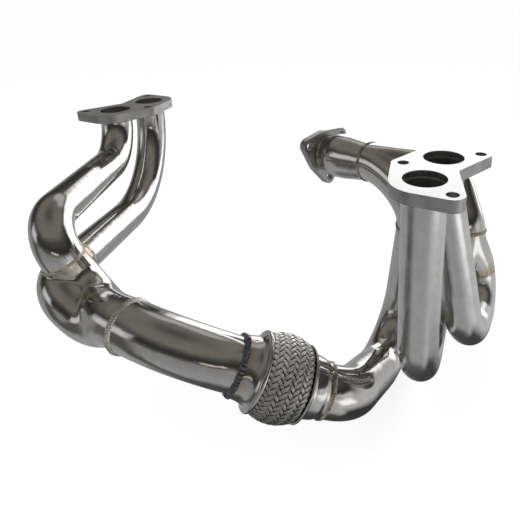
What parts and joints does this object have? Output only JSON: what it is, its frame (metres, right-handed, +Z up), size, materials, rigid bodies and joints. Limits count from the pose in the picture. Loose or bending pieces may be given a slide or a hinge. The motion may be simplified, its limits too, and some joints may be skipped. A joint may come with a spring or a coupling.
{
  "type": "exhaust manifold",
  "caption": "Tubular exhaust header for a flat engine: two-port head flanges, bent primaries, formed collectors, braided flex crossover and a lugged outlet.",
  "frame": {"origin": "midway between the two head flanges across the engine, level with both sealing faces, on the right flange's fore-and-aft centre", "axes": "+X towards the right bank, +Y aft, +Z up out of the head flange faces"},
  "size_m": [0.5748, 0.3893, 0.3059],
  "materials": {
    "polished_tube": "polished stainless tube",
    "satin_tube": "brushed stainless tube",
    "flange_plate": "machined face, satin edges",
    "weld_bead": "heat-tinted weld ripples",
    "heavy_weld": "dark grey weld",
    "flex_cuff": "pressed polished sleeve",
    "braid_wire": "bright wire braid",
    "flex_inner": "plain sheet"
  },
  "bodies": {
    "right_bank": {"right_head_flange": "flange_plate", "right_port_welds": "weld_bead", "right_front_primary": "satin_tube", "right_rear_primary": "satin_tube", "right_seam_welds": "weld_bead", "right_collector": "satin_tube", "right_collector_weld": "weld_bead", "right_riser_pipe": "polished_tube", "merge_welds": "weld_bead", "merge_collector": "polished_tube", "outlet_weld": "weld_bead", "outlet_cone": "polished_tube", "outlet_flange_weld": "weld_bead", "outlet_flange": "flange_plate", "rear_crossover_pipe": "polished_tube", "flex_outlet_weld": "weld_bead", "flex_outlet_cuff": "flex_cuff", "flex_outlet_ring": "flex_cuff", "flex_liner_outlet": "flex_inner"},
    "flex_slider": {"flex_liner_slider": "flex_inner"},
    "flex_middle": {"flex_liner_middle": "flex_inner", "flex_bellows": "flex_inner", "flex_braid": "braid_wire"},
    "left_bank": {"left_head_flange": "flange_plate", "left_port_welds": "weld_bead", "left_front_primary": "polished_tube", "left_rear_primary": "polished_tube", "left_seam_welds": "weld_bead", "left_collector": "polished_tube", "left_collector_weld": "weld_bead", "crossover_pipe": "polished_tube", "flex_inlet_weld": "heavy_weld", "flex_inlet_cuff": "flex_cuff", "flex_inlet_ring": "flex_cuff", "flex_liner_inlet": "flex_inner"}
  },
  "joints": [
    {"name": "flex_axial", "type": "slide", "parent": "right_bank", "child": "flex_slider", "axis": [-0.7007, -0.5202, 0.4883], "range_m": [-0.005, 0.006], "deforming": ["flex_bellows", "flex_braid"]},
    {"name": "flex_bend_vertical", "type": "hinge", "parent": "flex_slider", "child": "flex_middle", "pos_m": [0.13053, -0.11559, -0.19198], "axis": [0.5961, -0.8029, 0], "range_deg": [-10, 10], "deforming": ["flex_bellows", "flex_braid"]},
    {"name": "flex_bend_lateral", "type": "hinge", "parent": "flex_middle", "child": "left_bank", "pos_m": [0.13053, -0.11559, -0.19198], "axis": [0.3921, 0.2911, 0.8727], "range_deg": [-10, 10], "deforming": ["flex_bellows", "flex_braid"]}
  ]
}
